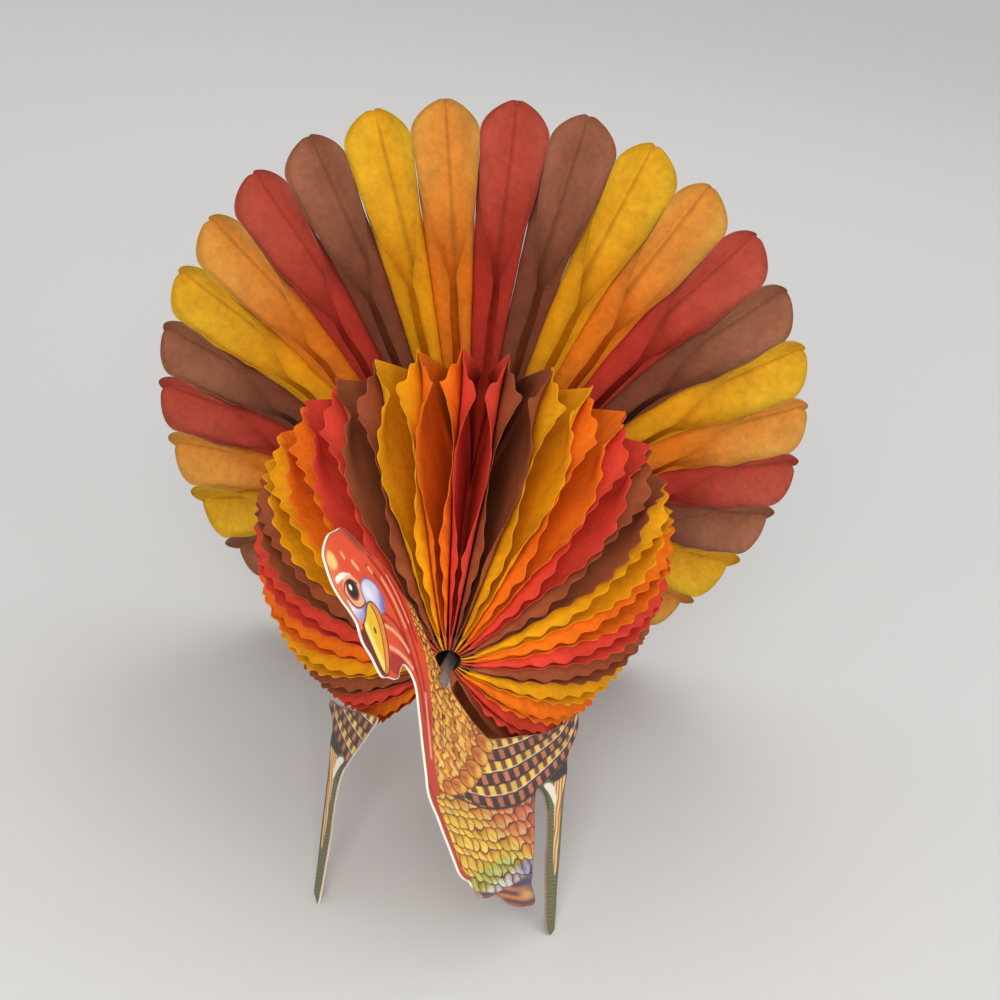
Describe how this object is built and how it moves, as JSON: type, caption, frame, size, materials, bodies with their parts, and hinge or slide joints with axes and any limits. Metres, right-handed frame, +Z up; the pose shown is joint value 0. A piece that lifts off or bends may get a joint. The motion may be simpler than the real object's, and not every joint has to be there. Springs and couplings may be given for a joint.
{
  "type": "turkey figure",
  "caption": "Fold-flat table turkey: coloured tissue sheets fan round a spine into a round body and spread tail behind a printed card bird that stands on its legs",
  "frame": {"origin": "on the surface that the figure stands on, under the middle of its bounding box", "axes": "+Z up, the bird faces -Y, +X to the right of someone looking at its face"},
  "size_m": [0.2348, 0.2186, 0.2221],
  "materials": {
    "tissue_red": "thin matt tissue paper",
    "tissue_brown": "thin matt tissue paper",
    "tissue_yellow": "thin matt tissue paper",
    "tissue_orange": "thin matt tissue paper",
    "printed_card": "matt printed paperboard",
    "spine_paper": "rolled paper",
    "clip_metal": "dull grey bent strip"
  },
  "bodies": {
    "figure": {"bird_card": "printed_card", "left_wing_card": "printed_card", "spine_core": "spine_paper", "neck_clip": "clip_metal", "tissue_petal_01": "tissue_orange"},
    "petal_02": {"tissue_petal_02": "tissue_red"},
    "petal_03": {"tissue_petal_03": "tissue_brown"},
    "petal_04": {"tissue_petal_04": "tissue_yellow"},
    "petal_05": {"tissue_petal_05": "tissue_orange"},
    "petal_06": {"tissue_petal_06": "tissue_red"},
    "petal_07": {"tissue_petal_07": "tissue_brown"},
    "petal_08": {"tissue_petal_08": "tissue_yellow"},
    "petal_09": {"tissue_petal_09": "tissue_orange"},
    "petal_10": {"tissue_petal_10": "tissue_red"},
    "petal_11": {"tissue_petal_11": "tissue_brown"},
    "petal_12": {"tissue_petal_12": "tissue_yellow"},
    "petal_13": {"tissue_petal_13": "tissue_orange"},
    "petal_14": {"tissue_petal_14": "tissue_red"},
    "petal_15": {"tissue_petal_15": "tissue_brown"},
    "petal_16": {"tissue_petal_16": "tissue_yellow"},
    "petal_17": {"tissue_petal_17": "tissue_orange"},
    "petal_18": {"tissue_petal_18": "tissue_red"},
    "petal_19": {"tissue_petal_19": "tissue_brown"},
    "petal_20": {"tissue_petal_20": "tissue_yellow"},
    "petal_21": {"tissue_petal_21": "tissue_orange"},
    "petal_22": {"tissue_petal_22": "tissue_red"},
    "petal_23": {"tissue_petal_23": "tissue_brown"},
    "petal_24": {"tissue_petal_24": "tissue_yellow"},
    "petal_25": {"tissue_petal_25": "tissue_orange"},
    "petal_26": {"tissue_petal_26": "tissue_red"},
    "petal_27": {"tissue_petal_27": "tissue_brown"}
  },
  "joints": [
    {"name": "fan_fold", "type": "hinge", "parent": "figure", "child": "petal_27", "pos_m": [0, -0.06223, 0.07926], "axis": [0, -0.9841, -0.1778], "range_deg": [0, 276.4], "deforming": ["tissue_petal_27", "tissue_petal_01"]},
    {"name": "petal_02_fold", "type": "hinge", "parent": "figure", "child": "petal_02", "pos_m": [0, -0.06223, 0.07926], "axis": [0, -0.9841, -0.1778], "range_deg": [0, 9.43], "deforming": ["tissue_petal_02"]},
    {"name": "petal_03_fold", "type": "hinge", "parent": "figure", "child": "petal_03", "pos_m": [0, -0.06223, 0.07926], "axis": [0, -0.9841, -0.1778], "range_deg": [0, 18.52], "deforming": ["tissue_petal_03"]},
    {"name": "petal_04_fold", "type": "hinge", "parent": "figure", "child": "petal_04", "pos_m": [0, -0.06223, 0.07926], "axis": [0, -0.9841, -0.1778], "range_deg": [0, 29.41], "deforming": ["tissue_petal_04"]},
    {"name": "petal_05_fold", "type": "hinge", "parent": "figure", "child": "petal_05", "pos_m": [0, -0.06223, 0.07926], "axis": [0, -0.9841, -0.1778], "range_deg": [0, 40.97], "deforming": ["tissue_petal_05"]},
    {"name": "petal_06_fold", "type": "hinge", "parent": "figure", "child": "petal_06", "pos_m": [0, -0.06223, 0.07926], "axis": [0, -0.9841, -0.1778], "range_deg": [0, 52], "deforming": ["tissue_petal_06"]},
    {"name": "petal_07_fold", "type": "hinge", "parent": "figure", "child": "petal_07", "pos_m": [0, -0.06223, 0.07926], "axis": [0, -0.9841, -0.1778], "range_deg": [0, 62.8], "deforming": ["tissue_petal_07"]},
    {"name": "petal_08_fold", "type": "hinge", "parent": "figure", "child": "petal_08", "pos_m": [0, -0.06223, 0.07926], "axis": [0, -0.9841, -0.1778], "range_deg": [0, 73.6], "deforming": ["tissue_petal_08"]},
    {"name": "petal_09_fold", "type": "hinge", "parent": "figure", "child": "petal_09", "pos_m": [0, -0.06223, 0.07926], "axis": [0, -0.9841, -0.1778], "range_deg": [0, 84.4], "deforming": ["tissue_petal_09"]},
    {"name": "petal_10_fold", "type": "hinge", "parent": "figure", "child": "petal_10", "pos_m": [0, -0.06223, 0.07926], "axis": [0, -0.9841, -0.1778], "range_deg": [0, 95.2], "deforming": ["tissue_petal_10"]},
    {"name": "petal_11_fold", "type": "hinge", "parent": "figure", "child": "petal_11", "pos_m": [0, -0.06223, 0.07926], "axis": [0, -0.9841, -0.1778], "range_deg": [0, 106], "deforming": ["tissue_petal_11"]},
    {"name": "petal_12_fold", "type": "hinge", "parent": "figure", "child": "petal_12", "pos_m": [0, -0.06223, 0.07926], "axis": [0, -0.9841, -0.1778], "range_deg": [0, 116.8], "deforming": ["tissue_petal_12"]},
    {"name": "petal_13_fold", "type": "hinge", "parent": "figure", "child": "petal_13", "pos_m": [0, -0.06223, 0.07926], "axis": [0, -0.9841, -0.1778], "range_deg": [0, 127.6], "deforming": ["tissue_petal_13"]},
    {"name": "petal_14_fold", "type": "hinge", "parent": "figure", "child": "petal_14", "pos_m": [0, -0.06223, 0.07926], "axis": [0, -0.9841, -0.1778], "range_deg": [0, 138.4], "deforming": ["tissue_petal_14"]},
    {"name": "petal_15_fold", "type": "hinge", "parent": "figure", "child": "petal_15", "pos_m": [0, -0.06223, 0.07926], "axis": [0, -0.9841, -0.1778], "range_deg": [0, 149.2], "deforming": ["tissue_petal_15"]},
    {"name": "petal_16_fold", "type": "hinge", "parent": "figure", "child": "petal_16", "pos_m": [0, -0.06223, 0.07926], "axis": [0, -0.9841, -0.1778], "range_deg": [0, 160], "deforming": ["tissue_petal_16"]},
    {"name": "petal_17_fold", "type": "hinge", "parent": "figure", "child": "petal_17", "pos_m": [0, -0.06223, 0.07926], "axis": [0, -0.9841, -0.1778], "range_deg": [0, 170.8], "deforming": ["tissue_petal_17"]},
    {"name": "petal_18_fold", "type": "hinge", "parent": "figure", "child": "petal_18", "pos_m": [0, -0.06223, 0.07926], "axis": [0, -0.9841, -0.1778], "range_deg": [0, 181.6], "deforming": ["tissue_petal_18"]},
    {"name": "petal_19_fold", "type": "hinge", "parent": "figure", "child": "petal_19", "pos_m": [0, -0.06223, 0.07926], "axis": [0, -0.9841, -0.1778], "range_deg": [0, 192.4], "deforming": ["tissue_petal_19"]},
    {"name": "petal_20_fold", "type": "hinge", "parent": "figure", "child": "petal_20", "pos_m": [0, -0.06223, 0.07926], "axis": [0, -0.9841, -0.1778], "range_deg": [0, 203.2], "deforming": ["tissue_petal_20"]},
    {"name": "petal_21_fold", "type": "hinge", "parent": "figure", "child": "petal_21", "pos_m": [0, -0.06223, 0.07926], "axis": [0, -0.9841, -0.1778], "range_deg": [0, 214], "deforming": ["tissue_petal_21"]},
    {"name": "petal_22_fold", "type": "hinge", "parent": "figure", "child": "petal_22", "pos_m": [0, -0.06223, 0.07926], "axis": [0, -0.9841, -0.1778], "range_deg": [0, 224.8], "deforming": ["tissue_petal_22"]},
    {"name": "petal_23_fold", "type": "hinge", "parent": "figure", "child": "petal_23", "pos_m": [0, -0.06223, 0.07926], "axis": [0, -0.9841, -0.1778], "range_deg": [0, 235.83], "deforming": ["tissue_petal_23"]},
    {"name": "petal_24_fold", "type": "hinge", "parent": "figure", "child": "petal_24", "pos_m": [0, -0.06223, 0.07926], "axis": [0, -0.9841, -0.1778], "range_deg": [0, 247.39], "deforming": ["tissue_petal_24"]},
    {"name": "petal_25_fold", "type": "hinge", "parent": "figure", "child": "petal_25", "pos_m": [0, -0.06223, 0.07926], "axis": [0, -0.9841, -0.1778], "range_deg": [0, 258.28], "deforming": ["tissue_petal_25"]},
    {"name": "petal_26_fold", "type": "hinge", "parent": "figure", "child": "petal_26", "pos_m": [0, -0.06223, 0.07926], "axis": [0, -0.9841, -0.1778], "range_deg": [0, 267.37], "deforming": ["tissue_petal_26"]}
  ],
  "couplings": [
    {"joint": "petal_02_fold", "follows": "fan_fold", "ratio": 0.033377},
    {"joint": "petal_03_fold", "follows": "fan_fold", "ratio": 0.066265},
    {"joint": "petal_04_fold", "follows": "fan_fold", "ratio": 0.10567},
    {"joint": "petal_05_fold", "follows": "fan_fold", "ratio": 0.14751},
    {"joint": "petal_06_fold", "follows": "fan_fold", "ratio": 0.1874},
    {"joint": "petal_07_fold", "follows": "fan_fold", "ratio": 0.22647},
    {"joint": "petal_08_fold", "follows": "fan_fold", "ratio": 0.26555},
    {"joint": "petal_09_fold", "follows": "fan_fold", "ratio": 0.30462},
    {"joint": "petal_10_fold", "follows": "fan_fold", "ratio": 0.3437},
    {"joint": "petal_11_fold", "follows": "fan_fold", "ratio": 0.38277},
    {"joint": "petal_12_fold", "follows": "fan_fold", "ratio": 0.42185},
    {"joint": "petal_13_fold", "follows": "fan_fold", "ratio": 0.46092},
    {"joint": "petal_14_fold", "follows": "fan_fold", "ratio": 0.5},
    {"joint": "petal_15_fold", "follows": "fan_fold", "ratio": 0.53907},
    {"joint": "petal_16_fold", "follows": "fan_fold", "ratio": 0.57815},
    {"joint": "petal_17_fold", "follows": "fan_fold", "ratio": 0.61723},
    {"joint": "petal_18_fold", "follows": "fan_fold", "ratio": 0.6563},
    {"joint": "petal_19_fold", "follows": "fan_fold", "ratio": 0.69538},
    {"joint": "petal_20_fold", "follows": "fan_fold", "ratio": 0.73445},
    {"joint": "petal_21_fold", "follows": "fan_fold", "ratio": 0.77353},
    {"joint": "petal_22_fold", "follows": "fan_fold", "ratio": 0.8126},
    {"joint": "petal_23_fold", "follows": "fan_fold", "ratio": 0.85249},
    {"joint": "petal_24_fold", "follows": "fan_fold", "ratio": 0.89433},
    {"joint": "petal_25_fold", "follows": "fan_fold", "ratio": 0.93373},
    {"joint": "petal_26_fold", "follows": "fan_fold", "ratio": 0.96662}
  ]
}
